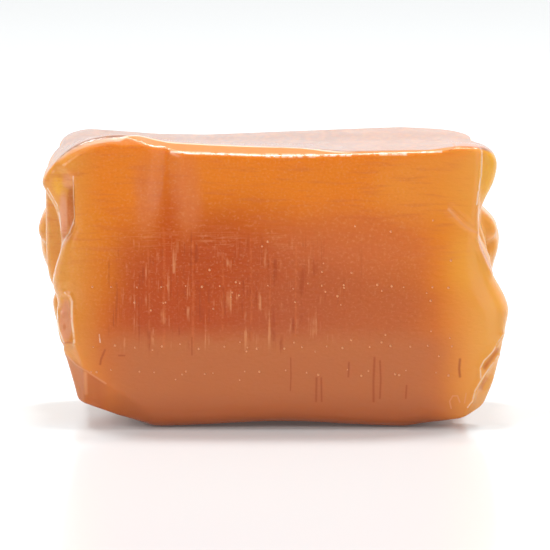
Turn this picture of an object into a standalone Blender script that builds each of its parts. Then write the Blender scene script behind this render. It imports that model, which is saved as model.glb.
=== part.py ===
"""A salted caramel: one soft block whose two ends a twisted wrapper has pressed into folds.

The candy is described as a signed distance. Its top, front and underside are gently uneven walls. Each end is
a stack of upright pleats, one behind the other, each with its own outline as seen from the front. A bevel along
the top, a few presses and creases finish the corners, and a box grid is then drawn in onto that shape. Sizes are
in millimetres and are turned into metres as the mesh is made.

X runs along the candy, Y from its front to its back, and Z up. The origin is under its middle, on the table.
"""
import math
from dataclasses import dataclass

import bpy
import numpy as np

MM = 0.001

# The block
HALF_DEPTH = 7.4
TOP_EDGE = 0.35
FOOT_EDGE = 1.5
# How far the middle of the box round the whole candy lies off the block's own middle
OFF_MIDDLE = (-0.22, 0.05, 0.0)

# The top's height along X, at its front edge and at its back edge
TOP_FRONT = (
    (-15.6, 14.9), (-14.8, 16.05), (-14.0, 17.1), (-13.3, 17.75), (-12.6, 18.2), (-11.8, 18.5),
    (-10.5, 18.75), (-8.9, 18.75), (-6.7, 18.3), (-4.0, 18.13), (-2.0, 18.03), (1.6, 17.9),
    (4.5, 17.75), (10.0, 17.85), (11.6, 18.1), (12.9, 18.05), (13.7, 17.8), (14.3, 17.3),
    (14.7, 16.4), (15.4, 14.5),
)
TOP_BACK = (
    (-15.4, 15.2), (-14.6, 16.9), (-13.7, 17.7), (-12.4, 17.95), (-7.6, 17.6), (-4.5, 17.55),
    (1.7, 17.8), (8.3, 18.05), (11.2, 17.9), (12.9, 17.7), (13.8, 17.45), (14.3, 17.0),
    (14.7, 16.3), (15.4, 14.6),
)
# Along X: where the crest lies that the top slopes forward from, and how far the front's upper edge is cut back
CREST = ((-10.0, -6.6), (-8.0, -5.7), (0.0, -5.9), (1.6, -6.1), (4.5, -6.6), (12.0, -6.8))
BEVEL = ((-15.2, 0.0), (-14.2, 0.4), (-12.5, 0.55), (-9.5, 0.55), (-8.6, 0.3), (-7.6, 0.0))
# The underside's height along X, and the arch under the front's middle
UNDERSIDE = ((-16.0, 2.75), (-7.7, 0.0), (8.4, 0.0), (12.0, 0.7), (16.0, 2.6))
ARCH = 0.34

# The grid that is drawn in, as the number of faces along each axis, and how much of it the solid keeps
GRID = (132, 70, 78)
KEPT_SHARE = 0.1
CORE_SHARE = 0.6
REACH = 16.4
TALLEST = 18.5
STEPS = 40
# How the points are then spread evenly: the rounds, and the nudge that finds the way out of the candy
ROUNDS = 8
NUDGE = 0.02
# What lies lower than this is the flat foot, which the table has pressed level
FOOT = 0.04


def soft_min(a, b, blend):
    """The lesser of two distances, rounded where they meet."""
    mix = np.clip(0.5 + 0.5 * (b - a) / blend, 0.0, 1.0)
    return b * (1 - mix) + a * mix - blend * mix * (1 - mix)


def soft_max(a, b, blend):
    """The greater of two distances, rounded where they meet."""
    return -soft_min(-a, -b, blend)


def hump(value, centre, width):
    """A smooth rise to 1 at the centre."""
    return np.exp(-(((value - centre) / width) ** 2))


def ramp(value, low, high):
    """A smooth step from 0 at low to 1 at high."""
    t = np.clip((value - low) / (high - low), 0.0, 1.0)
    return t * t * (3 - 2 * t)


def outline(points, at, ease=0.35):
    """Reads an outline of (place, value) points, with its corners eased over a short way."""
    places, values = zip(*points)
    shifts = (-ease, -0.5 * ease, 0.0, 0.5 * ease, ease)
    return sum(np.interp(at + shift, places, values) for shift in shifts) / len(shifts)


@dataclass(frozen=True)
class Pleat:
    """One upright fold of an end: how far it reaches at each height, and where it lies front to back."""

    side: int
    front: float
    back: float
    reaches: tuple
    edge: float
    blend: float

    def distance(self, x, y, z):
        reach = outline(self.reaches, z)
        slope = (outline(self.reaches, z + 0.3) - outline(self.reaches, z - 0.3)) / 0.6
        tip = (self.side * x - reach) / np.sqrt(1 + slope**2)
        return soft_max(tip, np.maximum(self.front - y, y - self.back), self.edge)


@dataclass(frozen=True)
class Fold:
    """A tapered rod from one point to another, which cuts a crease."""

    start: tuple
    end: tuple
    start_radius: float
    end_radius: float
    blend: float

    def distance(self, x, y, z):
        run = np.subtract(self.end, self.start)
        away = (x - self.start[0], y - self.start[1], z - self.start[2])
        along = np.clip(sum(a * r for a, r in zip(away, run)) / np.dot(run, run), 0.0, 1.0)
        gap = np.sqrt(sum((a - along * r) ** 2 for a, r in zip(away, run)))
        return gap - (self.start_radius + along * (self.end_radius - self.start_radius))


@dataclass(frozen=True)
class Press:
    """A flat that the table, a finger or the wrapper has pushed into the candy."""

    point: tuple
    outward: tuple
    blend: float

    def distance(self, x, y, z):
        normal = np.divide(self.outward, np.linalg.norm(self.outward))
        return (
            (x - self.point[0]) * normal[0]
            + (y - self.point[1]) * normal[1]
            + (z - self.point[2]) * normal[2]
        )


LEFT, RIGHT = -1, 1
# The pleats of each end, from front to back, with their reach from the middle at each height
PLEATS = (
    Pleat(LEFT, -20.0, -4.9, (
        (0.0, 12.1), (1.8, 12.5), (2.8, 12.85), (4.7, 13.45), (5.6, 13.75), (6.9, 14.0), (7.8, 13.85),
        (9.3, 14.3), (10.5, 14.0), (11.9, 13.5), (12.9, 12.95), (13.6, 12.75), (15.9, 12.8),
        (16.5, 13.7), (18.0, 14.7),
    ), 0.5, 0.15),
    Pleat(LEFT, -6.75, -1.2, (
        (0.0, 12.3), (6.0, 13.5), (10.0, 13.5), (13.0, 13.75), (13.9, 13.95), (14.8, 14.45),
        (15.7, 14.95), (18.0, 15.2),
    ), 1.1, 0.2),
    Pleat(LEFT, -3.6, 2.6, (
        (0.0, 12.2), (4.0, 13.5), (8.0, 14.5), (10.5, 14.75), (14.6, 14.75), (18.0, 14.9),
    ), 1.2, 0.25),
    Pleat(LEFT, 0.6, 20.0, (
        (0.0, 12.4), (4.0, 13.6), (8.4, 14.5), (9.8, 15.15), (11.7, 15.52), (12.8, 15.15), (13.8, 14.4),
        (16.0, 14.2), (18.0, 14.0),
    ), 1.3, 0.2),
    Pleat(RIGHT, -20.0, -4.4, (
        (0.0, 12.6), (1.3, 13.3), (2.8, 13.95), (4.8, 14.4), (6.2, 14.7), (7.5, 15.0), (8.4, 14.7),
        (10.2, 13.7), (11.7, 13.05), (13.6, 12.95), (16.5, 13.15), (18.0, 13.2),
    ), 0.7, 0.2),
    Pleat(RIGHT, -6.2, 2.4, (
        (0.0, 11.5), (6.0, 13.5), (10.5, 13.9), (12.5, 12.9), (13.5, 13.05), (14.5, 13.4),
        (15.5, 13.95), (16.4, 14.2), (17.2, 14.2), (18.0, 14.0),
    ), 1.3, 0.2),
    Pleat(RIGHT, -2.0, 3.4, (
        (0.0, 12.0), (5.0, 13.9), (8.0, 14.4), (10.4, 14.15), (12.5, 13.3), (18.0, 13.2),
    ), 1.2, 0.25),
    Pleat(RIGHT, 1.2, 20.0, (
        (0.0, 12.0), (5.0, 13.6), (9.0, 14.2), (11.2, 14.8), (12.3, 14.4), (13.3, 13.3), (15.0, 12.9),
        (18.0, 12.8),
    ), 1.3, 0.2),
)
CREASES = (
    Fold((-13.1, -7.5, 16.1), (-13.2, -6.95, 12.9), 0.15, 0.42, 0.06),
    Fold((-13.5, -7.15, 8.1), (-13.3, -7.35, 5.9), 0.4, 0.5, 0.08),
    Fold((14.7, -5.2, 5.9), (13.2, -7.0, 4.2), 0.25, 0.12, 0.15),
)
PRESSES = (
    Press((-11.9, -7.5, 3.7), (-0.30, -0.83, -0.47), 0.1),
    Press((-12.15, -6.95, 2.8), (-0.79, -0.53, -0.30), 0.06),
    Press((13.5, -7.3, 3.65), (0.73, -0.50, -0.32), 0.15),
)


def top_wall(x, y):
    """The height of the top: from its front edge to its back edge, hollowed a little between."""
    across = ramp(y, -6.6, 4.5)
    height = outline(TOP_FRONT, x) * (1 - across) + outline(TOP_BACK, x) * across
    strip = 0.42 * (1 - 0.7 * hump(x, -11.5, 3.5)) * np.clip(outline(CREST, x) - y, 0.0, None)
    return height - strip - 0.2 * hump(y, 1.0, 3.5)


def front_wall(x, z):
    """How far forward the front is: leaned back above its middle, with a pinched dent at the top."""
    lean = 0.35 * ramp(z, 11.5, 18.5)
    belly = -0.2 * hump(z, 6.5, 5.0)
    width = 0.55 + 0.9 * (1 - ramp(z, 11.5, 17.5))
    dent = 0.24 * hump(x, -6.9, width) * ramp(z, 10.8, 15.5)
    shoulders = -0.13 * (hump(x, -8.5, 0.9) + hump(x, -5.3, 1.0)) * ramp(z, 12.0, 16.0)
    return -HALF_DEPTH + lean + belly + dent + shoulders


def pucker(y, z):
    """How deep the twist drew in an end: a dimple at its middle with creases that turn out from it."""
    out = np.hypot(y - 0.4, z - 9.0)
    turn = np.arctan2(z - 9.0, y - 0.4)
    crease = (1 - np.abs(np.sin(2.5 * turn + 0.35 * out))) ** 2
    return 0.7 * hump(out, 0.0, 1.8) + 0.4 * crease * hump(out, 2.8, 2.0)


def ends(x, y, z):
    """Both ends: the pleats of each side joined, and drawn in at their middle."""
    walls = []
    for side in (LEFT, RIGHT):
        wall = None
        for pleat in PLEATS:
            if pleat.side == side:
                gap = pleat.distance(x, y, z)
                wall = gap if wall is None else soft_min(wall, gap, pleat.blend)
        walls.append(wall)
    return np.maximum(*walls) + pucker(y, z)


def candy(x, y, z):
    """The signed distance to the candy's surface, in millimetres, negative inside."""
    faces = soft_max(front_wall(x, z) - y, y - HALF_DEPTH - 0.3 * hump(z, 8, 6), 0.1)
    rise = outline(UNDERSIDE, x) + ARCH * hump(x, 0.4, 4.8) * ramp(-y, 3.0, 6.5)
    corner = 0.5 + 1.8 * hump(z, 8.5, 3.2) + 2.2 * ramp(y, 2.0, 6.0)
    shape = soft_max(faces, ends(x, y, z), corner)
    shape = soft_max(shape, rise - z, FOOT_EDGE - 1.2 * ramp(np.abs(x), 9.0, 12.0))
    slope = (top_wall(x + 0.3, y) - top_wall(x - 0.3, y)) / 0.6
    over = (z - top_wall(x, y)) / np.sqrt(1 + slope**2)
    shape = soft_max(shape, over, TOP_EDGE)
    shape = soft_max(shape, (over + front_wall(x, z) - y + outline(BEVEL, x)) / math.sqrt(2), 0.06)
    for press in PRESSES:
        shape = soft_max(shape, press.distance(x, y, z), press.blend)
    for crease in CREASES:
        shape = soft_max(shape, -crease.distance(x, y, z), crease.blend)
    return shape


def box_grid(counts):
    """Points of a unit box's surface grid and the quads between them, facing out."""
    index = {}
    points = []
    quads = []

    def corner(i, j, k):
        key = (i, j, k)
        if key not in index:
            index[key] = len(points)
            points.append([2 * n / count - 1 for n, count in zip(key, counts)])
        return index[key]

    for axis in range(3):
        u, v = (axis + 1) % 3, (axis + 2) % 3
        for side in (0, counts[axis]):
            for a in range(counts[u]):
                for b in range(counts[v]):
                    quad = []
                    for da, db in ((0, 0), (1, 0), (1, 1), (0, 1)):
                        key = [0, 0, 0]
                        key[axis], key[u], key[v] = side, a + da, b + db
                        quad.append(corner(*key))
                    quads.append(quad if side else quad[::-1])
    return np.array(points), quads


def draw_in(points):
    """Moves each grid point along its own line from outside until it meets the candy."""
    half = np.array([REACH, HALF_DEPTH + 1.5, TALLEST / 2 + 1.5])
    middle = np.array([0.0, 0.0, TALLEST / 2])
    outer = middle + points * half
    inner = middle + points * half * CORE_SHARE
    way = inner - outer
    length = np.linalg.norm(way, axis=1)
    travelled = np.zeros(len(points))
    for _ in range(STEPS):
        here = outer + way * travelled[:, None]
        gap = candy(*here.T)
        travelled = np.clip(travelled + 0.8 * gap / length, 0.0, 1.0)
    return outer + way * travelled[:, None]


def settle(points, quads):
    """Eases each point towards its neighbours and puts it back on the candy, round by round."""
    loops = np.array(quads)
    tails = loops.ravel()
    heads = np.roll(loops, -1, axis=1).ravel()
    neighbours = np.bincount(tails)
    for _ in range(ROUNDS):
        pull = np.stack([np.bincount(tails, points[heads, axis]) / neighbours for axis in range(3)], axis=1)
        points = (points + pull) / 2
        gap = candy(*points.T)
        way_out = np.stack([(candy(*(points + step).T) - gap) / NUDGE for step in np.eye(3) * NUDGE], axis=1)
        steepness = np.maximum((way_out**2).sum(axis=1), 0.1)
        points = points - (gap / steepness)[:, None] * way_out
    return points - np.array(OFF_MIDDLE)


def caramel_material():
    """The candy's own colour: a deep translucent orange."""
    material = bpy.data.materials.new("salted_caramel")
    material.use_nodes = True
    shader = material.node_tree.nodes["Principled BSDF"]
    shader.inputs["Base Color"].default_value = (0.62, 0.21, 0.055, 1)
    shader.inputs["Roughness"].default_value = 0.3
    shader.inputs["Subsurface Weight"].default_value = 0.5
    return material


def build_candy():
    """The one solid, thinned to fewer triangles where it is flat."""
    points, quads = box_grid(GRID)
    mesh = bpy.data.meshes.new("caramel")
    mesh.from_pydata((settle(draw_in(points), quads) * MM).tolist(), [], quads)
    mesh.materials.append(caramel_material())
    caramel = bpy.data.objects.new("caramel", mesh)
    bpy.context.scene.collection.objects.link(caramel)
    thinning = caramel.modifiers.new("thinning", "DECIMATE")
    thinning.ratio = KEPT_SHARE
    thinned = bpy.data.meshes.new_from_object(caramel.evaluated_get(bpy.context.evaluated_depsgraph_get()))
    for vertex in thinned.vertices:
        if vertex.co.z < FOOT * MM:
            vertex.co.z = 0.0
    thinned.shade_smooth()
    caramel.modifiers.remove(thinning)
    caramel.data = thinned
    bpy.data.meshes.remove(mesh)
    return caramel


def main():
    for old in list(bpy.data.objects):
        bpy.data.objects.remove(old)
    build_candy()


main()
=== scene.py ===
"""Dresses the salted caramel: its folded block, its colours and grain, its bubbles and a plain studio.

The candy's own lengths are in millimetres, in the block's coordinates, and are turned into the frame's
metres as each mesh is made. X runs along the candy, Y from its front to its back, and Z up from the table.
"""

import logging
import math
from collections.abc import Callable, Iterable, Mapping
from dataclasses import dataclass
from enum import Enum
from functools import reduce
from operator import mul
from typing import ClassVar

import bmesh
import bpy
import numpy as np
from mathutils import Matrix, Vector


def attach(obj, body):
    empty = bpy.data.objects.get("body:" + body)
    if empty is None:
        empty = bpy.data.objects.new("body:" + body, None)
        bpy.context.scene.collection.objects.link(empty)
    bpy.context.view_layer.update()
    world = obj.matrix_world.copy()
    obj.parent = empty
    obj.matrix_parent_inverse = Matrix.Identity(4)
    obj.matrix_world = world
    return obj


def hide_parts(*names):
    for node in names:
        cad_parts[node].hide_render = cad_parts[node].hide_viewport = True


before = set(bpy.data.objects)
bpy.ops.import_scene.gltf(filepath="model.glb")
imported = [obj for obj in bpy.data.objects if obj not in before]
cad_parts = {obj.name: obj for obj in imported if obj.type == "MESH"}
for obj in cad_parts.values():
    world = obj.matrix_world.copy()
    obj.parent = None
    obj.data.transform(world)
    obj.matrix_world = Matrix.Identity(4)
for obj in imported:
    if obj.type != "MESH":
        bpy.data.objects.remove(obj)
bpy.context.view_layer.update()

log = logging.getLogger("caramel")

MM = 0.001
# How far the middle of the box round the whole candy lies off the block's own middle
OFF_MIDDLE = (-0.22, 0.05, 0.0)
# How far to each side of a place a slope is read
SLOPE_STEP = 0.3
SHADER = "Principled BSDF"
WHITE = (1.0, 1.0, 1.0, 1.0)

Number = float | np.ndarray
Point = tuple[float, float, float]
Outline = tuple[tuple[float, float], ...]


def soft_min(a: Number, b: Number, blend: Number) -> Number:
    """The lesser of two distances, rounded where they meet."""
    mix = np.clip(0.5 + 0.5 * (b - a) / blend, 0.0, 1.0)
    return b * (1 - mix) + a * mix - blend * mix * (1 - mix)


def soft_max(a: Number, b: Number, blend: Number) -> Number:
    """The greater of two distances, rounded where they meet."""
    return -soft_min(-a, -b, blend)


def hump(value: Number, centre: Number, width: Number) -> Number:
    """A smooth rise to 1 at the centre."""
    return np.exp(-(((value - centre) / width) ** 2))


def ramp(value: Number, low: float, high: float) -> Number:
    """A smooth step from 0 at low to 1 at high."""
    t = np.clip((value - low) / (high - low), 0.0, 1.0)
    return t * t * (3 - 2 * t)


def outline(points: Outline, at: Number, ease: float = 0.35) -> Number:
    """Reads an outline, with its corners eased over a short way.

    Args:
        points: The outline's (place, value) points.
        at: The places to read it at.
        ease: How far to each side of a place its value is averaged.

    Returns:
        The value at each place.
    """
    places, values = zip(*points)
    shifts = (-ease, -0.5 * ease, 0.0, 0.5 * ease, ease)
    return sum(np.interp(at + shift, places, values) for shift in shifts) / len(shifts)


def slope(line: Callable[[Number], Number], at: Number) -> Number:
    """How steeply a line rises at each place."""
    return (line(at + SLOPE_STEP) - line(at - SLOPE_STEP)) / (2 * SLOPE_STEP)


@dataclass(frozen=True)
class Swell:
    """A smooth swelling with its height, its centre and its width."""

    height: float
    centre: float
    width: float

    def at(self, value: Number) -> Number:
        """The swelling at each place."""
        return self.height * hump(value, self.centre, self.width)


@dataclass(frozen=True)
class Rise:
    """A smooth step of a height, from nothing at its start to the whole at its end."""

    height: float
    start: float
    end: float

    def at(self, value: Number) -> Number:
        """The step at each place."""
        return self.height * ramp(value, self.start, self.end)


class End(Enum):
    """Which end of the candy a pleat belongs to."""

    LEFT = -1
    RIGHT = 1


@dataclass(frozen=True)
class Fold:
    """A tapered rod from one point to another, which is cut from the form as a crease."""

    start: Point
    end: Point
    start_radius: float
    end_radius: float
    blend: float

    def distance(self, x: Number, y: Number, z: Number) -> Number:
        """The distance from each place to the rod's side."""
        run = np.subtract(self.end, self.start)
        away = (x - self.start[0], y - self.start[1], z - self.start[2])
        along = np.clip(sum(a * r for a, r in zip(away, run)) / np.dot(run, run), 0.0, 1.0)
        gap = np.sqrt(sum((a - along * r) ** 2 for a, r in zip(away, run)))
        return gap - (self.start_radius + along * (self.end_radius - self.start_radius))


@dataclass(frozen=True)
class Press:
    """A flat that the wrapper has pushed into the candy."""

    point: Point
    outward: Point
    blend: float

    def distance(self, x: Number, y: Number, z: Number) -> Number:
        """The distance from each place to the flat, positive outside."""
        normal = np.divide(self.outward, np.linalg.norm(self.outward))
        away = (x - self.point[0], y - self.point[1], z - self.point[2])
        return sum(a * n for a, n in zip(away, normal))


@dataclass(frozen=True)
class Seam:
    """A fine ridge, or a groove where its rise is negative, along (x, z) points on the front."""

    points: Outline
    width: float
    rise: float
    fade: ClassVar[tuple[float, float]] = (3.4, 4.6)

    def lift(self, x: Number, y: Number, z: Number) -> Number:
        """How far the surface is raised at each place."""
        gap = np.inf
        for (x0, z0), (x1, z1) in zip(self.points, self.points[1:]):
            run_x, run_z = x1 - x0, z1 - z0
            along = np.clip(((x - x0) * run_x + (z - z0) * run_z) / (run_x**2 + run_z**2), 0.0, 1.0)
            gap = np.minimum(gap, np.hypot(x - x0 - along * run_x, z - z0 - along * run_z))
        return self.rise * hump(gap, 0.0, self.width) * ramp(-y, *self.fade)


@dataclass(frozen=True)
class Pleat:
    """One upright fold of an end: how far it reaches at each height, and where it lies front to back."""

    end: End
    front: float
    back: float
    reaches: Outline
    edge: float
    blend: float

    def distance(self, x: Number, y: Number, z: Number) -> Number:
        """The distance from each place to the pleat's outside."""
        lean = slope(lambda height: outline(self.reaches, height), z)
        tip = (self.end.value * x - outline(self.reaches, z)) / np.sqrt(1 + lean**2)
        return soft_max(tip, np.maximum(self.front - y, y - self.back), self.edge)


@dataclass(frozen=True)
class CandyForm:
    """The candy's shape as a signed distance: uneven walls, ends of pleats, presses, creases and seams."""

    half_depth: float = 7.4
    top_edge: float = 0.35
    front_edge: float = 0.1
    bevel_edge: float = 0.06
    foot_edge: float = 1.5
    foot_sharpening: Rise = Rise(1.2, 9.0, 12.0)
    arch: Swell = Swell(0.34, 0.4, 4.8)
    arch_run: tuple[float, float] = (3.0, 6.5)
    top_run: tuple[float, float] = (-6.6, 4.5)
    hollow: Swell = Swell(0.2, 1.0, 3.5)
    strip_slope: float = 0.42
    strip_easing: Swell = Swell(0.7, -11.5, 3.5)
    lean: Rise = Rise(0.35, 11.5, 18.5)
    belly: Swell = Swell(0.2, 6.5, 5.0)
    back_belly: Swell = Swell(0.3, 8.0, 6.0)
    dent: Rise = Rise(0.24, 10.8, 15.5)
    dent_middle: float = -6.9
    dent_width: float = 0.55
    dent_flare: Rise = Rise(0.9, 17.5, 11.5)
    shoulders: tuple[Swell, ...] = (Swell(0.13, -8.5, 0.9), Swell(0.13, -5.3, 1.0))
    shoulder_run: tuple[float, float] = (12.0, 16.0)
    corner: float = 0.5
    corner_swell: Swell = Swell(1.8, 8.5, 3.2)
    corner_rise: Rise = Rise(2.2, 2.0, 6.0)
    top_front: Outline = (
        (-15.6, 14.9), (-14.8, 16.05), (-14.0, 17.1), (-13.3, 17.75), (-12.6, 18.2), (-11.8, 18.5),
        (-10.5, 18.75), (-8.9, 18.75), (-6.7, 18.3), (-4.0, 18.13), (-2.0, 18.03), (1.6, 17.9),
        (4.5, 17.75), (10.0, 17.85), (11.6, 18.1), (12.9, 18.05), (13.7, 17.8), (14.3, 17.3),
        (14.7, 16.4), (15.4, 14.5),
    )
    top_back: Outline = (
        (-15.4, 15.2), (-14.6, 16.9), (-13.7, 17.7), (-12.4, 17.95), (-7.6, 17.6), (-4.5, 17.55),
        (1.7, 17.8), (8.3, 18.05), (11.2, 17.9), (12.9, 17.7), (13.8, 17.45), (14.3, 17.0), (14.7, 16.3),
        (15.4, 14.6),
    )
    crest: Outline = ((-10.0, -6.6), (-8.0, -5.7), (0.0, -5.9), (1.6, -6.1), (4.5, -6.6), (12.0, -6.8))
    bevel: Outline = ((-15.2, 0.0), (-14.2, 0.4), (-12.5, 0.55), (-9.5, 0.55), (-8.6, 0.3), (-7.6, 0.0))
    underside: Outline = ((-16.0, 2.75), (-7.7, 0.0), (8.4, 0.0), (12.0, 0.7), (16.0, 2.6))
    twist: tuple[float, float] = (0.4, 9.0)
    turns: float = 2.5
    spiral: float = 0.35
    dimple: Swell = Swell(0.7, 0.0, 1.8)
    twist_creases: Swell = Swell(0.4, 2.8, 2.0)
    pleats: tuple[Pleat, ...] = (
        Pleat(End.LEFT, -20.0, -4.9, (
            (0.0, 12.1), (1.8, 12.5), (2.8, 12.85), (4.7, 13.45), (5.6, 13.75), (6.9, 14.0), (7.8, 13.85),
            (9.3, 14.3), (10.5, 14.0), (11.9, 13.5), (12.9, 12.95), (13.6, 12.75), (15.9, 12.8),
            (16.5, 13.7), (18.0, 14.7),
        ), 0.5, 0.15),
        Pleat(End.LEFT, -6.75, -1.2, (
            (0.0, 12.3), (6.0, 13.5), (10.0, 13.5), (13.0, 13.75), (13.9, 13.95), (14.8, 14.45),
            (15.7, 14.95), (18.0, 15.2),
        ), 1.1, 0.2),
        Pleat(End.LEFT, -3.6, 2.6, (
            (0.0, 12.2), (4.0, 13.5), (8.0, 14.5), (10.5, 14.75), (14.6, 14.75), (18.0, 14.9),
        ), 1.2, 0.25),
        Pleat(End.LEFT, 0.6, 20.0, (
            (0.0, 12.4), (4.0, 13.6), (8.4, 14.5), (9.8, 15.15), (11.7, 15.52), (12.8, 15.15), (13.8, 14.4),
            (16.0, 14.2), (18.0, 14.0),
        ), 1.3, 0.2),
        Pleat(End.RIGHT, -20.0, -4.4, (
            (0.0, 12.6), (1.3, 13.3), (2.8, 13.95), (4.8, 14.4), (6.2, 14.7), (7.5, 15.0), (8.4, 14.7),
            (10.2, 13.7), (11.7, 13.05), (13.6, 12.95), (16.5, 13.15), (18.0, 13.2),
        ), 0.7, 0.2),
        Pleat(End.RIGHT, -6.2, 2.4, (
            (0.0, 11.5), (6.0, 13.5), (10.5, 13.9), (12.5, 12.9), (13.5, 13.05), (14.5, 13.4),
            (15.5, 13.95), (16.4, 14.2), (17.2, 14.2), (18.0, 14.0),
        ), 1.3, 0.2),
        Pleat(End.RIGHT, -2.0, 3.4, (
            (0.0, 12.0), (5.0, 13.9), (8.0, 14.4), (10.4, 14.15), (12.5, 13.3), (18.0, 13.2),
        ), 1.2, 0.25),
        Pleat(End.RIGHT, 1.2, 20.0, (
            (0.0, 12.0), (5.0, 13.6), (9.0, 14.2), (11.2, 14.8), (12.3, 14.4), (13.3, 13.3), (15.0, 12.9),
            (18.0, 12.8),
        ), 1.3, 0.2),
    )
    presses: tuple[Press, ...] = (
        Press((-11.9, -7.5, 3.7), (-0.30, -0.83, -0.47), 0.1),
        Press((-12.15, -6.95, 2.8), (-0.79, -0.53, -0.30), 0.06),
        Press((13.5, -7.3, 3.65), (0.73, -0.50, -0.32), 0.15),
    )
    creases: tuple[Fold, ...] = (
        Fold((-13.1, -7.5, 16.1), (-13.2, -6.95, 12.9), 0.15, 0.42, 0.06),
        Fold((-13.5, -7.15, 8.1), (-13.3, -7.35, 5.9), 0.4, 0.5, 0.08),
        Fold((14.7, -5.2, 5.9), (13.2, -7.0, 4.2), 0.25, 0.12, 0.15),
    )
    seams: tuple[Seam, ...] = (
        Seam(((-13.0, 15.4), (-13.0, 13.2), (-13.35, 12.4)), 0.18, -0.3),
        Seam(((-12.7, 15.8), (-12.7, 13.3)), 0.14, 0.07),
        Seam((
            (-13.5, 8.75), (-13.1, 8.6), (-12.95, 8.2), (-12.95, 7.0), (-12.8, 6.2), (-12.75, 5.6),
        ), 0.14, 0.12),
        Seam(((-13.85, 7.6), (-13.7, 6.4), (-13.4, 5.5)), 0.12, 0.12),
        Seam(((-13.6, 5.2), (-13.0, 5.35)), 0.12, -0.15),
        Seam(((-13.3, 4.65), (-12.75, 4.15), (-12.0, 3.7), (-11.4, 3.25), (-10.7, 2.8)), 0.14, 0.06),
        Seam(((-12.05, 3.5), (-12.0, 2.0)), 0.2, 0.05),
        Seam(((11.0, 14.1), (11.5, 13.6), (12.0, 13.15), (12.9, 12.6)), 0.16, 0.07),
        Seam(((11.2, 14.3), (11.9, 13.6), (12.6, 13.1)), 0.16, -0.05),
        Seam(((12.95, 11.8), (13.3, 11.0), (13.6, 10.4), (13.85, 9.9)), 0.15, 0.09),
        Seam((
            (14.55, 6.0), (14.2, 5.57), (13.9, 4.99), (13.33, 4.43), (13.1, 3.97), (13.13, 3.33),
        ), 0.13, 0.14),
        Seam(((14.0, 5.0), (13.6, 4.5), (13.3, 4.05)), 0.14, -0.14),
        Seam((
            (14.24, 4.67), (13.8, 4.1), (13.4, 3.55), (13.1, 3.07), (12.77, 2.5), (12.6, 1.8),
        ), 0.13, 0.14),
        Seam(((13.6, 3.2), (13.25, 2.6)), 0.2, -0.14),
    )
    seams_from: float = 10.0

    def top(self, x: Number, y: Number) -> Number:
        """The height of the top, from its front edge to its back edge, hollowed a little between."""
        across = ramp(y, *self.top_run)
        height = outline(self.top_front, x) * (1 - across) + outline(self.top_back, x) * across
        before_crest = np.clip(outline(self.crest, x) - y, 0.0, None)
        strip = self.strip_slope * (1 - self.strip_easing.at(x)) * before_crest
        return height - strip - self.hollow.at(y)

    def front(self, x: Number, z: Number) -> Number:
        """How far forward the front is: leaned back above its middle, with a pinched dent at the top."""
        dent = self.dent.at(z) * hump(x, self.dent_middle, self.dent_width + self.dent_flare.at(z))
        shoulders = sum(shoulder.at(x) for shoulder in self.shoulders) * ramp(z, *self.shoulder_run)
        return -self.half_depth + self.lean.at(z) - self.belly.at(z) + dent - shoulders

    def pucker(self, y: Number, z: Number) -> Number:
        """How deep the twist drew in an end: a dimple at its middle with creases that turn out from it."""
        across, up = y - self.twist[0], z - self.twist[1]
        out = np.hypot(across, up)
        crease = (1 - np.abs(np.sin(self.turns * np.arctan2(up, across) + self.spiral * out))) ** 2
        return self.dimple.at(out) + crease * self.twist_creases.at(out)

    def ends(self, x: Number, y: Number, z: Number) -> Number:
        """The distance to both ends: the pleats of each joined, and drawn in at their middle."""
        walls = []
        for end in End:
            gaps = [(pleat.distance(x, y, z), pleat.blend) for pleat in self.pleats if pleat.end is end]
            wall = gaps[0][0]
            for gap, blend in gaps[1:]:
                wall = soft_min(wall, gap, blend)
            walls.append(wall)
        return np.maximum(*walls) + self.pucker(y, z)

    def distance(self, x: Number, y: Number, z: Number) -> Number:
        """The signed distance to the candy's surface, negative inside."""
        back = y - self.half_depth - self.back_belly.at(z)
        faces = soft_max(self.front(x, z) - y, back, self.front_edge)
        rise = outline(self.underside, x) + self.arch.at(x) * ramp(-y, *self.arch_run)
        corner = self.corner + self.corner_swell.at(z) + self.corner_rise.at(y)
        shape = soft_max(faces, self.ends(x, y, z), corner)
        shape = soft_max(shape, rise - z, self.foot_edge - self.foot_sharpening.at(np.abs(x)))
        lean = slope(lambda place: self.top(place, y), x)
        over = (z - self.top(x, y)) / np.sqrt(1 + lean**2)
        shape = soft_max(shape, over, self.top_edge)
        bevelled = (over + self.front(x, z) - y + outline(self.bevel, x)) / math.sqrt(2)
        shape = soft_max(shape, bevelled, self.bevel_edge)
        for press in self.presses:
            shape = soft_max(shape, press.distance(x, y, z), press.blend)
        for crease in self.creases:
            shape = soft_max(shape, -crease.distance(x, y, z), crease.blend)
        near = (np.abs(x) > self.seams_from) & (y < -Seam.fade[0])
        spot = (x[near], y[near], z[near])
        shape[near] -= sum(seam.lift(*spot) for seam in self.seams)
        return shape


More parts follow.
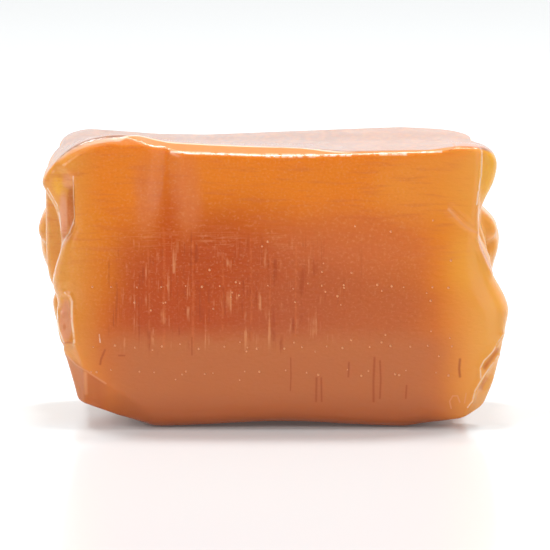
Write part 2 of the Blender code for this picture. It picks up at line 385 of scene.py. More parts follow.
@dataclass(frozen=True)
class BoxGrid:
    """A grid of quads over a box, which is drawn in onto a form and then spread evenly over it."""

    counts: tuple[int, int, int] = (204, 70, 120)
    reach: float = 16.4
    depth: float = 8.9
    tallest: float = 18.5
    margin: float = 1.5
    core_share: float = 0.6
    steps: int = 20
    stride: float = 0.9
    rounds: int = 6
    nudge: float = 0.02
    least_slope: float = 0.1
    flat: float = 0.04

    def lay(self) -> tuple[np.ndarray, np.ndarray]:
        """The grid's points on a box from -1 to 1, and its quads, facing out."""
        index: dict[tuple[int, ...], int] = {}
        points: list[list[float]] = []
        quads: list[list[int]] = []
        for axis in range(3):
            u, v = (axis + 1) % 3, (axis + 2) % 3
            for side in (0, self.counts[axis]):
                for a in range(self.counts[u]):
                    for b in range(self.counts[v]):
                        quad = []
                        for da, db in ((0, 0), (1, 0), (1, 1), (0, 1)):
                            place = [0, 0, 0]
                            place[axis], place[u], place[v] = side, a + da, b + db
                            key = tuple(place)
                            if key not in index:
                                index[key] = len(points)
                                points.append([2 * n / count - 1 for n, count in zip(key, self.counts)])
                            quad.append(index[key])
                        quads.append(quad if side else quad[::-1])
        return np.array(points), np.array(quads)

    def draw_in(self, form: CandyForm, points: np.ndarray) -> np.ndarray:
        """Moves each grid point along its own line from outside until it meets the form."""
        half = np.array([self.reach, self.depth, self.tallest / 2 + self.margin])
        middle = np.array([0.0, 0.0, self.tallest / 2])
        outer = middle + points * half
        way = points * half * (self.core_share - 1)
        length = np.linalg.norm(way, axis=1)
        travelled = np.zeros(len(points))
        for _ in range(self.steps):
            here = outer + way * travelled[:, None]
            travelled = np.clip(travelled + self.stride * form.distance(*here.T) / length, 0.0, 1.0)
        return outer + way * travelled[:, None]

    def settle(self, form: CandyForm, points: np.ndarray, quads: np.ndarray) -> np.ndarray:
        """Eases each point towards its neighbours and puts it back on the form, round by round."""
        tails = quads.ravel()
        heads = np.roll(quads, -1, axis=1).ravel()
        neighbours = np.bincount(tails)
        for _ in range(self.rounds):
            sums = [np.bincount(tails, points[heads, axis]) for axis in range(3)]
            points = (points + np.stack(sums, axis=1) / neighbours[:, None]) / 2
            gap = form.distance(*points.T)
            nudged = [form.distance(*(points + step).T) for step in np.eye(3) * self.nudge]
            way_out = np.stack([there - gap for there in nudged], axis=1) / self.nudge
            steepness = np.maximum((way_out**2).sum(axis=1), self.least_slope)
            points = points - (gap / steepness)[:, None] * way_out
        points[points[:, 2] < self.flat, 2] = 0.0
        return points


class Tone(Enum):
    """The caramel's colours as they look in daylight, and the tones of its painted highlights, shade and
    glow, as red, green and blue from 0 to 255.
    """

    AMBER = (231, 127, 25)
    GOLD = (232, 136, 14)
    RUST = (186, 73, 8)
    EMBER = (192, 74, 12)
    ROSE = (186, 89, 42)
    BLUSH = (208, 106, 52)
    CORAL = (219, 119, 60)
    # Painted light: the tan of the upward-facing top.
    LIT_TAN = (220, 148, 92)
    TAN = (196, 108, 54)
    UMBER = (172, 86, 48)
    # Painted glow: the next three tones paint light shining through the thin ends.
    HONEY_GLOW = (236, 162, 70)
    STRAW_GLOW = (226, 152, 64)
    LEMON_GLOW = (242, 176, 46)
    PEACH = (232, 158, 104)
    PINK = (226, 156, 124)
    # Painted shade: the greyer, darker tone of the top's filmy skin.
    FILM_SHADE = (156, 117, 100)
    # Painted highlight: the tone of bright lines on edges, ridges and the crest.
    HIGHLIGHT_CREAM = (250, 222, 198)
    # Painted shade: the tone of creases, grooves and recesses.
    SHADE_COPPER = (202, 104, 30)
    SLIT = (168, 66, 16)

    def linear(self) -> tuple[float, float, float, float]:
        """The colour in the linear values that shaders use."""
        shares = (part / 255 for part in self.value)
        parts = (((share + 0.055) / 1.055) ** 2.4 if share > 0.04 else share / 12.92 for share in shares)
        return (*parts, 1.0)


class Field:
    """A number, colour or place that varies over a surface. Maths on it adds nodes to its bench."""

    def __init__(self, bench: "Bench", socket: bpy.types.NodeSocket) -> None:
        """Wraps a socket of the bench's tree."""
        self.bench = bench
        self.socket = socket

    def __add__(self, other: "Field | float") -> "Field":
        """The sum of two numbers."""
        return self.bench.math("ADD", self, other)

    def __sub__(self, other: "Field | float") -> "Field":
        """The difference of two numbers."""
        return self.bench.math("SUBTRACT", self, other)

    def __mul__(self, other: "Field | float") -> "Field":
        """The product of two numbers."""
        return self.bench.math("MULTIPLY", self, other)

    def __neg__(self) -> "Field":
        """The number with its sign turned."""
        return self.bench.math("MULTIPLY", self, -1.0)

    def __abs__(self) -> "Field":
        """The number without its sign."""
        return self.bench.math("ABSOLUTE", self)


Feed = Field | float | tuple[float, ...]
Feeds = Mapping[str | int, Feed]
Settings = Mapping[str, object]


class Bench:
    """A node tree, with short calls for what the finishes are mixed from."""

    def __init__(self, tree: bpy.types.NodeTree) -> None:
        """Works on an existing tree."""
        self.tree = tree

    def node(self, kind: str, settings: Settings, feeds: Feeds) -> bpy.types.Node:
        """Adds a node.

        Args:
            kind: The node's type.
            settings: Its own settings, which are set first.
            feeds: The value or link of each input, by name or number.

        Returns:
            The node.
        """
        node = self.tree.nodes.new(kind)
        for name, setting in settings.items():
            setattr(node, name, setting)
        for name, feed in feeds.items():
            self.plug(node.inputs[name], feed)
        return node

    def plug(self, socket: bpy.types.NodeSocket, feed: Feed) -> None:
        """Gives an input a link or a plain value."""
        if isinstance(feed, Field):
            self.tree.links.new(feed.socket, socket)
        else:
            socket.default_value = feed

    def feed(self, name: str, feeds: Feeds) -> None:
        """Feeds a node that the tree has from the start."""
        for key, feed in feeds.items():
            self.plug(self.tree.nodes[name].inputs[key], feed)

    def split(self, place: Field) -> tuple[Field, ...]:
        """The three parts of a place."""
        node = self.node("ShaderNodeSeparateXYZ", {}, {"Vector": place})
        return tuple(Field(self, output) for output in node.outputs)

    def source(self, kind: str, output: str) -> Field:
        """An output of a new node that takes no inputs."""
        return Field(self, self.node(kind, {}, {}).outputs[output])

    def math(self, operation: str, *feeds: Feed) -> Field:
        """A Math node on one to three numbers."""
        node = self.node("ShaderNodeMath", {"operation": operation}, dict(enumerate(feeds)))
        return Field(self, node.outputs[0])

    def vector(self, operation: str, *feeds: Feed, output: int = 0) -> Field:
        """A Vector Math node on one to three places."""
        node = self.node("ShaderNodeVectorMath", {"operation": operation}, dict(enumerate(feeds)))
        return Field(self, node.outputs[output])

    def mix(self, share: Feed, low: Feed, high: Feed) -> Field:
        """A colour between two, by share."""
        node = self.node("ShaderNodeMix", {"data_type": "RGBA"}, {0: share, 6: low, 7: high})
        return Field(self, node.outputs[2])

    def ramp(self, value: Field, low: float, high: float, top: float = 1.0) -> Field:
        """A smooth step of a number, from 0 at low to top at high, which may be the lesser."""
        settings = {"interpolation_type": "SMOOTHSTEP"}
        rising = low < high
        feeds = {"Value": value, "From Min": min(low, high), "From Max": max(low, high)}
        feeds |= {"To Min": 0.0 if rising else top, "To Max": top if rising else 0.0}
        return Field(self, self.node("ShaderNodeMapRange", settings, feeds).outputs[0])

    def hump(self, value: Field, centre: float, width: float) -> Field:
        """A smooth rise of a number to 1 at the centre."""
        off = (value - centre) * (1 / width)
        return self.math("EXPONENT", -(off * off))

    def noise(self, place: Field, stretch: Point, detail: float = 2.0) -> Field:
        """Noise from 0 to 1 whose grains have the given size along each axis, in millimetres."""
        scaled = self.vector("DIVIDE", place, stretch)
        node = self.node("ShaderNodeTexNoise", {}, {"Vector": scaled, "Scale": 1.0, "Detail": detail})
        return Field(self, node.outputs[0])

    def gap(self, flat: Field, points: Iterable[Point]) -> Field:
        """The distance from each place to a line through points.

        Args:
            flat: The surface's place, pressed flat in the line's plane.
            points: The line's corners, pressed flat alike.

        Returns:
            The distance in millimetres.
        """
        corners = [Vector(point) for point in points]
        least = None
        for start, end in zip(corners, corners[1:]):
            run = end - start
            away = self.vector("SUBTRACT", flat, tuple(start))
            along = self.vector("DOT_PRODUCT", away, tuple(run / run.length_squared), output=1)
            held = Field(self, self.node("ShaderNodeClamp", {}, {"Value": along}).outputs[0])
            pull = self.node("ShaderNodeVectorMath", {"operation": "SCALE"}, {0: tuple(-run), "Scale": held})
            gap = self.vector("LENGTH", self.vector("ADD", away, Field(self, pull.outputs[0])), output=1)
            least = gap if least is None else self.math("MINIMUM", least, gap)
        return least


class Measure(Enum):
    """What varies over the skin: lengths in millimetres, and noises and masks from 0 to 1."""

    PLACE = "the place in the candy's own millimetres"
    X = "the place along the candy"
    Y = "the place from front to back"
    Z = "the height"
    OUT = "the distance from the middle, along the candy"
    LEFT_OUT = "the distance from the middle of the left half, along the candy"
    SWAY_X = "the place along the candy, made uneven"
    SWAY_Z = "the height, made uneven"
    HALF_SWAY_Z = "the height, made half as uneven"
    ABOVE_FACET = "the height over the slanted facet at the lower left"
    BEHIND = "the distance behind the crest of the top"
    OFF_CREST = "the distance from the crest, to either side"
    FORE = "the mask of the front"
    # Painted light and shade on the top are laid where this mask is.
    LEVEL = "the mask of the top where its skin faces up"
    UNDER_TOP = "the mask of the band below the top"
    SWAY = "broad noise"
    BAND = "noise in level bands"
    STREAK = "noise in long level streaks"
    GRAIN = "fine noise"
    WRINKLE = "noise in wrinkles from front to back"
    DRAWN = "noise in long upright marks"
    TORN = "noise that breaks the upright marks"
    DRAG = "the upright marks, dark below 0.5 and light above"
    LINE_BREAKS = "noise that breaks the creases"
    GLOSS = "noise in the roughness"
    SKIN = "noise in the relief"


Skin = Mapping[Measure, Field]


@dataclass(frozen=True)
class Grain:
    """Noise whose grains have a size along each axis, in millimetres."""

    measure: Measure
    size: Point
    detail: float = 2.0


@dataclass(frozen=True)
class Fade:
    """A smooth step of one measure, from 0 at its start to its top at its end, on a base."""

    measure: Measure
    start: float
    end: float
    top: float = 1.0
    base: float = 0.0

    def share(self, bench: Bench, skin: Skin) -> Field:
        """How strong the fade is at each place."""
        step = bench.ramp(skin[self.measure], self.start, self.end, self.top)
        return step + self.base if self.base else step


def overlap(bench: Bench, skin: Skin, fades: Iterable[Fade]) -> Field:
    """The product of fades."""
    return reduce(mul, [fade.share(bench, skin) for fade in fades])


@dataclass(frozen=True)
class Line:
    """A thin line in the skin of the front, through (x, z) points in millimetres."""

    width: float
    points: Outline


@dataclass(frozen=True)
class Creases:
    """Thin lines of one tone on the front, broken in places by noise: painted highlights along edges and
    ridges, painted shade in creases and grooves, and the candy's own streaks and slits.
    """

    tone: Tone
    lines: tuple[Line, ...]
    share: float
    breaks: float
    blur: ClassVar[float] = 0.25
    kept: ClassVar[Fade] = Fade(Measure.Y, -3.9, -4.5)

    def lay(self, bench: Bench, colour: Feed, skin: Skin) -> Field:
        """Mixes the lines over a colour.

        Args:
            bench: The finish's tree.
            colour: What the lines lie over.
            skin: What varies over the skin.

        Returns:
            The colour with the lines on it.
        """
        flat = bench.vector("MULTIPLY", skin[Measure.PLACE], (1.0, 0.0, 1.0))
        least = None
        for line in self.lines:
            gap = bench.gap(flat, [(x, 0.0, z) for x, z in line.points]) * (1 / line.width)
            least = gap if least is None else bench.math("MINIMUM", least, gap)
        broken_up = Fade(Measure.LINE_BREAKS, self.breaks - self.blur, self.breaks)
        share = bench.ramp(least, 1.0, 0.0, self.share) * overlap(bench, skin, (self.kept, broken_up))
        return bench.mix(share, colour, self.tone.linear())


@dataclass(frozen=True)
class Stain:
    """A soft-edged patch of one tone, which runs through the candy from front to back."""

    tone: Tone
    centre: tuple[float, float]
    half: tuple[float, float]
    share: float
    edge: float

    def lay(self, bench: Bench, colour: Feed, x: Field, z: Field, within: Feed = 1.0) -> Field:
        """Mixes the patch over a colour.

        Args:
            bench: The finish's tree.
            colour: What the patch lies over.
            x: The place along the candy.
            z: The height.
            within: Where the patch may show.

        Returns:
            The colour with the patch on it.
        """
        across = (x - self.centre[0]) * (1 / self.half[0])
        up = (z - self.centre[1]) * (1 / self.half[1])
        out = bench.math("SQRT", across * across + up * up)
        share = bench.ramp(out, 1 + self.edge, 1 - self.edge, self.share) * within
        return bench.mix(share, colour, self.tone.linear())


@dataclass(frozen=True)
class Wash:
    """One tone where its fades and its mask overlap."""

    tone: Tone
    fades: tuple[Fade, ...]
    mask: Measure | None = None
    share: float = 1.0

    def lay(self, bench: Bench, colour: Feed, skin: Skin) -> Field:
        """Mixes the wash over a colour.

        Args:
            bench: The finish's tree.
            colour: What the wash lies over.
            skin: What varies over the skin.

        Returns:
            The colour with the wash on it.
        """
        shares = [fade.share(bench, skin) for fade in self.fades]
        if self.mask:
            shares.append(skin[self.mask])
        return bench.mix(reduce(mul, shares) * self.share, colour, self.tone.linear())


@dataclass(frozen=True)
class CaramelFinish:
    """The translucent caramel: amber above, rust in its middle, tan below, a painted honey glow of light
    through its thin ends, and painted highlights and shade on its top, edges and creases.
    """

    name: str = "caramel_finish"
    roughness: float = 0.14
    roughness_spread: float = 0.16
    ior: float = 1.47
    scatter_share: float = 0.3
    scatter_reach: float = 0.0008
    scatter_tint: Point = (1.0, 0.4, 0.15)
    grain_height: float = 0.02
    drag_height: float = 0.04
    facet_slant: float = 0.64
    left_middle: float = -4.0
    crest_depth: float = 6.72
    streak_height: float = 12.2
    streak_width: float = 0.6
    grains: tuple[Grain, ...] = (
        Grain(Measure.SWAY, (3.0, 3.0, 2.2)),
        Grain(Measure.BAND, (2.4, 1.2, 0.28), 3.0),
        Grain(Measure.STREAK, (1.6, 0.6, 0.1)),
        Grain(Measure.GRAIN, (0.18, 0.4, 0.15), 3.0),
        Grain(Measure.WRINKLE, (0.5, 1.6, 0.5), 4.0),
        Grain(Measure.DRAWN, (0.2, 0.6, 4.5), 4.0),
        Grain(Measure.TORN, (0.6, 0.6, 1.3), 3.0),
        Grain(Measure.LINE_BREAKS, (0.35, 0.5, 0.5)),
        Grain(Measure.GLOSS, (1.5, 1.5, 1.0)),
        Grain(Measure.SKIN, (0.4, 0.5, 0.2), 3.0),
    )
    fore: Fade = Fade(Measure.Y, -4.6, -5.4)
    drag_zone: tuple[Fade, ...] = (
        Fade(Measure.X, -12.0, -9.4),
        Fade(Measure.X, 10.5, -1.0),
        Fade(Measure.Z, 4.0, 6.4),
        Fade(Measure.Z, 13.6, 11.0),
        Fade(Measure.TORN, 0.4, 0.62),
    )
    crest_bulge: tuple[Fade, ...] = (Fade(Measure.X, -10.0, -8.2), Fade(Measure.X, 4.6, 0.6, 0.85))
    facing_up: tuple[float, float] = (0.45, 0.8)
    top_zone: Fade = Fade(Measure.Z, 13.0, 15.0)
    stains: tuple[Stain, ...] = (
        Stain(Tone.RUST, (-3.8, 8.5), (8.2, 5.4), 1.0, 0.45),
        Stain(Tone.ROSE, (4.4, 7.0), (6.2, 5.4), 0.85, 0.5),
        Stain(Tone.BLUSH, (5.2, 12.2), (5.4, 2.0), 0.6, 0.7),
        Stain(Tone.GOLD, (11.6, 11.6), (1.6, 3.4), 0.55, 0.7),
        Stain(Tone.GOLD, (-11.4, 10.6), (1.4, 3.2), 0.4, 0.6),
        # Painted light: paler patches on the shoulders either side of the dent.
        Stain(Tone.CORAL, (-8.1, 15.0), (0.75, 2.2), 0.7, 0.6),
        Stain(Tone.CORAL, (-5.6, 15.0), (0.85, 2.4), 0.7, 0.6),
        # Painted shade: a darker red down the pinched dent at the upper left.
        Stain(Tone.EMBER, (-6.85, 12.6), (0.62, 3.9), 0.6, 0.9),
        # Painted glow of light through the candy near its upper right end.
        Stain(Tone.HONEY_GLOW, (9.6, 15.6), (3.0, 2.2), 0.35, 0.6),
    )
    end_stains: tuple[Stain, ...] = (
        # Painted glow of light through the thin left ear.
        Stain(Tone.LEMON_GLOW, (-13.75, 15.6), (0.4, 0.7), 0.6, 0.5),
        Stain(Tone.PINK, (-13.5, 13.5), (0.28, 1.6), 0.7, 0.4),
        # Painted shade in the groove beside the left ear.
        Stain(Tone.SHADE_COPPER, (-13.05, 14.0), (0.22, 1.4), 0.8, 0.4),
        Stain(Tone.PEACH, (-13.2, 15.8), (0.35, 0.45), 0.7, 0.3),
        # Painted reflection: a pale pink sheen in the glossy pocket at the lower left.
        Stain(Tone.PINK, (-13.35, 6.9), (0.42, 1.3), 0.7, 0.25),
        # Painted shade: a small dark spot in the pocket.
        Stain(Tone.SHADE_COPPER, (-13.45, 6.5), (0.1, 0.2), 0.5, 0.5),
        # Painted glow of light through the thin right end, in the next two stains.
        Stain(Tone.LEMON_GLOW, (13.8, 16.0), (0.75, 2.0), 0.7, 0.4),
        Stain(Tone.LEMON_GLOW, (12.0, 10.6), (1.0, 1.6), 0.25, 0.8),
    )
    shades: tuple[Wash, ...] = (
        Wash(Tone.TAN, (Fade(Measure.HALF_SWAY_Z, 7.0, 5.2, 0.95), Fade(Measure.OUT, 13.5, 8.5))),
        # Painted glow: the next two washes lighten both ends as light shining through them.
        Wash(Tone.HONEY_GLOW, (Fade(Measure.X, 10.0, 14.0),)),
        Wash(Tone.STRAW_GLOW, (Fade(Measure.X, -10.6, -14.0),)),
        Wash(Tone.UMBER, (Fade(Measure.Z, 2.9, 0.6, 0.5), Fade(Measure.OUT, 14.0, 9.5))),
        # Painted shade: the slanted facet at the lower left, which faces down, is darkened.
        Wash(Tone.ROSE, (
            Fade(Measure.ABOVE_FACET, -3.8, -4.0, 0.6),
            Fade(Measure.X, -10.4, -11.4),
        ), Measure.FORE),
    )
    marks: tuple[Wash, ...] = (
        Wash(Tone.BLUSH, (
            Fade(Measure.BAND, 0.48, 0.72, 0.38),
            Fade(Measure.Z, 9.0, 12.5),
            Fade(Measure.X, 13.0, 11.0),
        )),
        Wash(Tone.PEACH, (
            Fade(Measure.GRAIN, 0.5, 0.8, 0.3),
            Fade(Measure.Z, 3.0, 9.0),
            Fade(Measure.X, 12.0, 8.0),
        )),
        Wash(Tone.EMBER, (
            Fade(Measure.GRAIN, 0.5, 0.25, 0.15),
            Fade(Measure.Z, 3.0, 9.0),
            Fade(Measure.X, 12.0, 8.0),
        )),
        Wash(Tone.PEACH, (
            Fade(Measure.STREAK, 0.52, 0.7, 0.25),
            Fade(Measure.LEFT_OUT, 8.0, 5.0),
        ), Measure.UNDER_TOP),
        Wash(Tone.PEACH, (Fade(Measure.DRAG, 0.52, 0.68, 0.5),)),
        Wash(Tone.SLIT, (Fade(Measure.DRAG, 0.49, 0.36, 0.6),)),
        # Painted light: a paler tan over the upward-facing skin of the top.
        Wash(Tone.LIT_TAN, (), Measure.LEVEL, 0.85),
        # Painted shade: the top behind the crest is greyed and darkened, mottled by the wrinkles of its
        # filmy skin.
        Wash(Tone.FILM_SHADE, (
            Fade(Measure.BEHIND, -0.05, 0.1),
            Fade(Measure.WRINKLE, 0.3, 0.62, 0.22, 0.74),
            Fade(Measure.X, 7.0, 2.5, 0.15, 0.85),
        ), Measure.LEVEL),
        # Painted highlight: a bright line along the crest of the top.
        Wash(Tone.HIGHLIGHT_CREAM, (
            Fade(Measure.OFF_CREST, 0.15, 0.04, 0.8),
            Fade(Measure.X, 5.5, 3.5),
        ), Measure.LEVEL),
    )
    creases: tuple[Creases, ...] = (
        # Painted highlights: bright lines along the ear edges, the pocket rims, the right end's crease and
        # the lower right folds.
        Creases(Tone.HIGHLIGHT_CREAM, (
            Line(0.07, ((-14.5, 15.35), (-13.9, 14.3), (-13.75, 13.6), (-13.7, 12.6))),
            Line(0.05, ((-12.85, 16.2), (-12.85, 15.0), (-12.78, 13.5), (-13.1, 12.5))),
            Line(0.08, (
                (-12.85, 13.2), (-13.15, 12.5), (-13.55, 11.9), (-13.75, 11.2), (-13.95, 10.5), (-14.2, 9.3),
            )),
            Line(0.11, (
                (-13.4, 8.75), (-13.1, 8.55), (-12.95, 8.2), (-12.95, 7.0), (-12.85, 6.2), (-12.8, 5.6),
            )),
            Line(0.08, ((-13.95, 7.6), (-13.8, 6.3), (-13.5, 5.45))),
            Line(0.09, ((13.2, 17.7), (13.15, 16.2), (12.95, 15.2), (12.85, 14.4))),
            Line(0.06, ((-11.2, 6.1), (-11.15, 5.6))),
            Line(0.07, (
                (14.55, 6.0), (14.2, 5.57), (13.9, 4.99), (13.33, 4.43), (13.1, 3.97), (13.13, 3.33),
            )),
            Line(0.07, (
                (14.24, 4.67), (13.8, 4.1), (13.4, 3.55), (13.1, 3.07), (12.77, 2.5), (12.6, 1.8),
                (12.3, 1.4),
            )),
        ), 0.75, 0.5),
        # Painted highlights: broken bright lines along the top edge of the front.
        Creases(Tone.HIGHLIGHT_CREAM, (
            Line(0.12, ((-6.6, 17.74), (-5.4, 17.68), (-2.8, 17.58), (-0.3, 17.5))),
            Line(0.17, ((-0.6, 17.5), (1.0, 17.48), (2.5, 17.5))),
            Line(0.1, ((2.3, 17.5), (4.8, 17.52))),
            Line(0.14, ((6.4, 17.6), (8.4, 17.6))),
            Line(0.08, ((9.0, 17.7), (10.6, 17.75))),
        ), 0.95, 0.6),
        Creases(Tone.CORAL, (
            Line(0.13, ((-8.1, 12.4), (-8.0, 9.0), (-8.05, 5.6))),
            Line(0.16, ((-7.1, 12.9), (-7.05, 10.0), (-7.1, 5.0))),
            Line(0.14, ((-5.25, 12.0), (-5.2, 9.0), (-5.25, 5.4))),
            Line(0.12, ((-3.35, 12.1), (-3.3, 9.5), (-3.35, 6.0))),
            Line(0.12, ((-1.55, 12.2), (-1.5, 8.0), (-1.55, 5.8))),
            Line(0.1, ((-0.3, 11.0), (-0.35, 6.6))),
            Line(0.1, ((1.35, 11.8), (1.3, 6.0))),
        ), 0.36, 0.6),
        # Painted highlights along the lower left facet's ridge and edge and the right end's ridges, with a
        # small curl and tick of the same pale tone at the lower right.
        Creases(Tone.PEACH, (
            Line(0.1, ((-13.3, 4.6), (-12.75, 4.1), (-12.0, 3.75), (-11.5, 3.4), (-10.8, 2.95))),
            Line(0.2, ((-12.1, 3.6), (-12.1, 2.2))),
            Line(0.16, ((11.05, 14.1), (11.5, 13.6), (11.9, 13.2), (12.45, 12.8), (12.9, 12.6))),
            Line(0.09, ((13.0, 11.7), (13.35, 10.95), (13.6, 10.4), (13.85, 9.9))),
            Line(0.08, ((11.25, 1.35), (11.15, 1.8), (11.35, 2.15), (11.65, 2.15), (11.8, 1.75))),
            Line(0.07, ((12.2, 2.3), (12.1, 1.7))),
        ), 0.6, 0.35),
        # Painted shade in creases and grooves: the lower right folds, the pocket's lower edge, a crease at
        # the right end and a fold under the right top edge.
        Creases(Tone.SHADE_COPPER, (
            Line(0.24, ((14.2, 5.1), (13.85, 4.6), (13.4, 4.0))),
            Line(0.26, ((13.45, 3.2), (13.15, 2.6))),
            Line(0.14, ((-13.7, 5.3), (-13.3, 5.5), (-13.0, 5.5))),
            Line(0.08, ((13.05, 11.9), (13.4, 11.0), (13.9, 10.0))),
            Line(0.06, ((11.1, 17.83), (11.55, 18.12), (12.95, 18.0), (13.45, 17.9))),
        ), 0.75, 0.3),
        Creases(Tone.SLIT, (
            Line(0.12, ((2.65, 3.3), (2.62, 1.8))),
            Line(0.1, ((2.95, 3.3), (2.98, 1.8))),
            Line(0.07, ((1.0, 4.6), (1.02, 3.4), (0.98, 2.5))),
            Line(0.11, ((4.72, 4.3), (4.68, 3.4))),
            Line(0.13, ((6.35, 4.6), (6.28, 3.0), (6.3, 1.8))),
            Line(0.1, ((6.7, 4.4), (6.75, 3.2), (6.7, 2.0))),
            Line(0.1, ((8.4, 2.8), (8.35, 2.0))),
            Line(0.14, ((11.8, 4.5), (11.75, 3.9), (11.8, 3.4))),
            Line(0.08, ((-5.3, 5.9), (-5.3, 4.8))),
            Line(0.12, ((-10.85, 5.1), (-11.1, 4.5), (-11.15, 4.2))),
            Line(0.1, ((-9.95, 4.75), (-9.6, 4.75))),
        ), 0.7, 0.3),
    )

    def material(self) -> bpy.types.Material:
        """The finish as a new material."""
        material = bpy.data.materials.new(self.name)
        material.use_nodes = True
        bench = Bench(material.node_tree)
        skin = self.skin(bench)
        height = skin[Measure.SKIN] * self.grain_height + skin[Measure.DRAG] * self.drag_height
        bump = bench.node("ShaderNodeBump", {}, {"Strength": 1.0, "Distance": MM, "Height": height})
        bench.feed(SHADER, {
            "Base Color": self.colour(bench, skin),
            "Roughness": skin[Measure.GLOSS] * self.roughness_spread + self.roughness,
            "Normal": Field(bench, bump.outputs[0]),
            "IOR": self.ior,
            "Subsurface Weight": self.scatter_share,
            "Subsurface Scale": self.scatter_reach,
            "Subsurface Radius": self.scatter_tint,
        })
        return material

    def skin(self, bench: Bench) -> Skin:
        """Everything that the finish varies with.

        Args:
            bench: The finish's tree.

        Returns:
            Each measure as a field of the tree.
        """
        spot = bench.source("ShaderNodeTexCoord", "Object")
        place = bench.vector("MULTIPLY_ADD", spot, (1 / MM,) * 3, OFF_MIDDLE)
        x, y, z = bench.split(place)
        skin = {grain.measure: bench.noise(place, grain.size, grain.detail) for grain in self.grains}
        skin |= {Measure.PLACE: place, Measure.X: x, Measure.Y: y, Measure.Z: z}
        sway = skin[Measure.SWAY] - 0.5
        skin |= {Measure.SWAY_X: x + sway, Measure.SWAY_Z: z + sway, Measure.HALF_SWAY_Z: z + sway * 0.5}
        skin |= {Measure.OUT: abs(x), Measure.LEFT_OUT: abs(x - self.left_middle)}
        skin[Measure.ABOVE_FACET] = z + x * self.facet_slant
        behind = y - overlap(bench, skin, self.crest_bulge) + self.crest_depth
        skin |= {Measure.BEHIND: behind, Measure.OFF_CREST: abs(behind)}
        upward = bench.split(bench.source("ShaderNodeNewGeometry", "Normal"))[2]
        skin[Measure.FORE] = self.fore.share(bench, skin)
        skin[Measure.LEVEL] = bench.ramp(upward, *self.facing_up) * self.top_zone.share(bench, skin)
        skin[Measure.UNDER_TOP] = bench.hump(z, self.streak_height, self.streak_width)
        skin[Measure.DRAG] = (skin[Measure.DRAWN] - 0.5) * overlap(bench, skin, self.drag_zone) + 0.5
        return skin

    def colour(self, bench: Bench, skin: Skin) -> Feed:
        """The caramel's colour at each place, layer on layer.

        Args:
            bench: The finish's tree.
            skin: What varies over the skin.

        Returns:
            The colour.
        """
        colour = Tone.AMBER.linear()
        for stain in self.stains:
            colour = stain.lay(bench, colour, skin[Measure.SWAY_X], skin[Measure.SWAY_Z])
        for shade in self.shades:
            colour = shade.lay(bench, colour, skin)
        for stain in self.end_stains:
            colour = stain.lay(bench, colour, skin[Measure.X], skin[Measure.Z], skin[Measure.FORE])
        for layer in (*self.marks, *self.creases):
            colour = layer.lay(bench, colour, skin)
        return colour


@dataclass(frozen=True)
class PlainFinish:
    """A finish that is the same all over."""

    name: str
    feeds: Mapping[str, Feed]

    def material(self) -> bpy.types.Material:
        """The finish as a new material."""
        material = bpy.data.materials.new(self.name)
        material.use_nodes = True
        Bench(material.node_tree).feed(SHADER, self.feeds)
        return material


def stand(name: str, data: bpy.types.ID) -> bpy.types.Object:
    """A new object in the scene."""
    made = bpy.data.objects.new(name, data)
    bpy.context.scene.collection.objects.link(made)
    return made


@dataclass(frozen=True)
class Caramel:
    """The candy itself."""

    form: CandyForm
    grid: BoxGrid
    finish: CaramelFinish
    name: str = "caramel_body"

    def build(self) -> bpy.types.Object:
        """The candy on its fine grid, standing for its solid."""
        points, quads = self.grid.lay()
        points = self.grid.draw_in(self.form, points)
        points = self.grid.settle(self.form, points, quads)
        mesh = bpy.data.meshes.new(self.name)
        mesh.from_pydata(((points - np.array(OFF_MIDDLE)) * MM).tolist(), [], quads.tolist())
        mesh.materials.append(self.finish.material())
        mesh.shade_smooth()
        body = stand(self.name, mesh)
        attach(body, "root")
        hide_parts("caramel")
        return body


@dataclass(frozen=True)
class Beads:
    """The tiny air bubbles in the skin of the front: loose rows of beads, and some strewn between."""

    form: CandyForm
    rows: tuple[float, ...] = (9.2, 5.3, 3.65)
    in_each_row: int = 18
    strewn: int = 44
    reach: float = 11.4
    smallest: float = 0.045
    largest: float = 0.08
    spread_along: float = 0.3
    spread_up: float = 0.1
    strewn_heights: tuple[float, float] = (3.0, 13.5)
    sinking: int = 8
    name: str = "air_beads"
    finish: PlainFinish = PlainFinish("bead_finish", {
        "Base Color": Tone.PEACH.linear(),
        "Roughness": 0.35,
    })
    seed: int = 5

    def places(self) -> tuple[np.ndarray, np.ndarray, np.ndarray]:
        """The beads' places along the candy, their heights and their radii."""
        chance = np.random.default_rng(self.seed)
        in_rows = len(self.rows) * self.in_each_row
        spread = np.linspace(-self.reach, self.reach, self.in_each_row)
        along = np.tile(spread, len(self.rows)) + chance.normal(0.0, self.spread_along, in_rows)
        along = np.concatenate([along, chance.uniform(-self.reach, self.reach, self.strewn)])
        heights = np.repeat(self.rows, self.in_each_row) + chance.normal(0.0, self.spread_up, in_rows)
        heights = np.concatenate([heights, chance.uniform(*self.strewn_heights, self.strewn)])
        return along, heights, chance.uniform(self.smallest, self.largest, in_rows + self.strewn)

    def build(self) -> bpy.types.Object:
        """All the beads as one mesh, each half sunk in the front."""
        mesh = bpy.data.meshes.new(self.name)
        shell = bmesh.new()
        along, heights, radii = self.places()
        depths = self.form.front(along, heights)
        for _ in range(self.sinking):
            depths = depths + self.form.distance(along, depths, heights)
        for x, y, z, radius in zip(along, depths, heights, radii):
            spot = (np.array([x, y, z]) - np.array(OFF_MIDDLE)) * MM
            at = Matrix.Translation(spot)
            bmesh.ops.create_icosphere(shell, subdivisions=2, radius=radius * MM, matrix=at)
        shell.to_mesh(mesh)
        shell.free()
        mesh.materials.append(self.finish.material())
        mesh.shade_smooth()
        beads = stand(self.name, mesh)
        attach(beads, "root")
        return beads


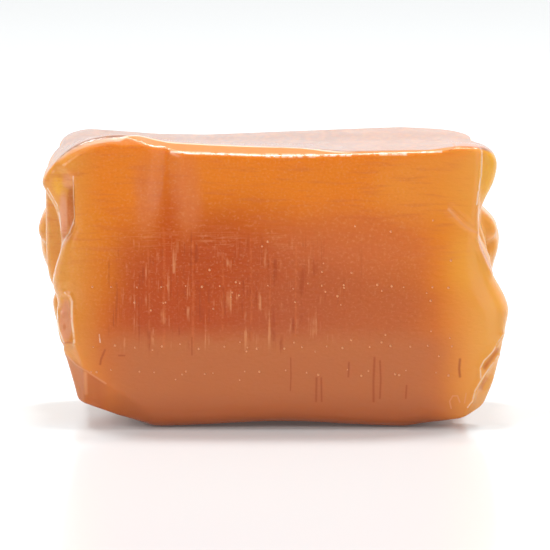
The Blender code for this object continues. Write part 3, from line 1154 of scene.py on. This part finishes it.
@dataclass(frozen=True)
class SoftBox:
    """A square studio light aimed at the candy."""

    name: str
    place: Point
    side: float
    power: float

    def build(self, aim: Vector) -> bpy.types.Object:
        """The light, in metres and watts, facing the aim."""
        lamp = bpy.data.lights.new(self.name, "AREA")
        lamp.size = self.side
        lamp.energy = self.power
        light = stand(self.name, lamp)
        light.location = self.place
        light.rotation_euler = (aim - Vector(self.place)).to_track_quat("-Z", "Y").to_euler()
        return light


@dataclass(frozen=True)
class Studio:
    """The pale glossy floor, the white surroundings, the soft lights and the camera."""

    floor_half: float = 1.2
    floor_finish: PlainFinish = PlainFinish("floor_gloss", {
        "Base Color": (0.70, 0.73, 0.74, 1.0),
        "Roughness": 0.15,
        "Specular IOR Level": 0.06,
        "Emission Color": WHITE,
        "Emission Strength": 0.05,
    })
    front_white: float = 0.28
    back_white: float = 1.2
    turning_white: tuple[float, float] = (0.0, 0.5)
    rising_grey: tuple[float, float] = (0.7, 0.3)
    camera_rise: float = 6.5
    camera_away: float = 0.45
    aim_height: float = 0.00906
    view_width: float = 0.03564
    film_width: float = 36.0
    nearest_seen: float = 0.01
    softboxes: tuple[SoftBox, ...] = (
        SoftBox("key_left", (-0.33, -0.40, 0.24), 0.26, 0.95),
        SoftBox("key_right", (0.36, -0.36, 0.20), 0.5, 0.92),
        SoftBox("rear_left", (-0.13, 0.11, 0.34), 0.08, 0.65),
        SoftBox("rear_right", (0.13, 0.11, 0.34), 0.08, 0.65),
        SoftBox("overhead", (0.0, 0.0, 0.40), 0.05, 0.5),
    )

    def aim(self) -> Vector:
        """The point that the camera and the lights face."""
        return Vector((-OFF_MIDDLE[0] * MM, -OFF_MIDDLE[1] * MM, self.aim_height))

    def floor(self) -> bpy.types.Object:
        """The floor."""
        side = self.floor_half
        mesh = bpy.data.meshes.new("floor")
        corners = [(-side, -side, 0), (side, -side, 0), (side, side, 0), (-side, side, 0)]
        mesh.from_pydata(corners, [], [(0, 1, 2, 3)])
        mesh.materials.append(self.floor_finish.material())
        floor = stand("floor", mesh)
        return floor

    def surroundings(self) -> bpy.types.World:
        """White behind the candy, and greyer above it and on the camera's side."""
        world = bpy.data.worlds.new("studio_white")
        world.use_nodes = True
        bench = Bench(world.node_tree)
        _, toward_back, up = bench.split(bench.source("ShaderNodeTexCoord", "Generated"))
        white = bench.ramp(toward_back, *self.turning_white) * bench.ramp(up, *self.rising_grey)
        strength = white * (self.back_white - self.front_white) + self.front_white
        bench.feed("Background", {"Strength": strength, "Color": WHITE})
        bpy.context.scene.world = world
        return world

    def camera(self) -> bpy.types.Object:
        """The camera at the photograph's viewing angle."""
        rise = math.radians(self.camera_rise)
        back = Vector((0.0, -math.cos(rise), math.sin(rise)))
        lens = bpy.data.cameras.new("photo_camera")
        lens.sensor_width = self.film_width
        lens.lens = self.film_width * self.camera_away / self.view_width
        lens.clip_start = self.nearest_seen
        camera = stand("photo_camera", lens)
        camera.location = self.aim() + back * self.camera_away
        camera.rotation_euler = (-back).to_track_quat("-Z", "Y").to_euler()
        bpy.context.scene.camera = camera
        return camera

    def build(self) -> None:
        """Sets up everything round the candy."""
        self.floor()
        self.surroundings()
        self.camera()
        for softbox in self.softboxes:
            softbox.build(self.aim())
        bpy.context.scene.view_settings.view_transform = "Standard"


def main() -> None:
    """Builds the studio and the candy, and reports each piece."""
    logging.basicConfig(level=logging.INFO, format="%(name)s: %(message)s")
    form = CandyForm()
    Studio().build()
    for piece in (Caramel(form, BoxGrid(), CaramelFinish()).build(), Beads(form).build()):
        log.info("%s has %d faces", piece.name, len(piece.data.polygons))


if __name__ == "__main__":
    main()
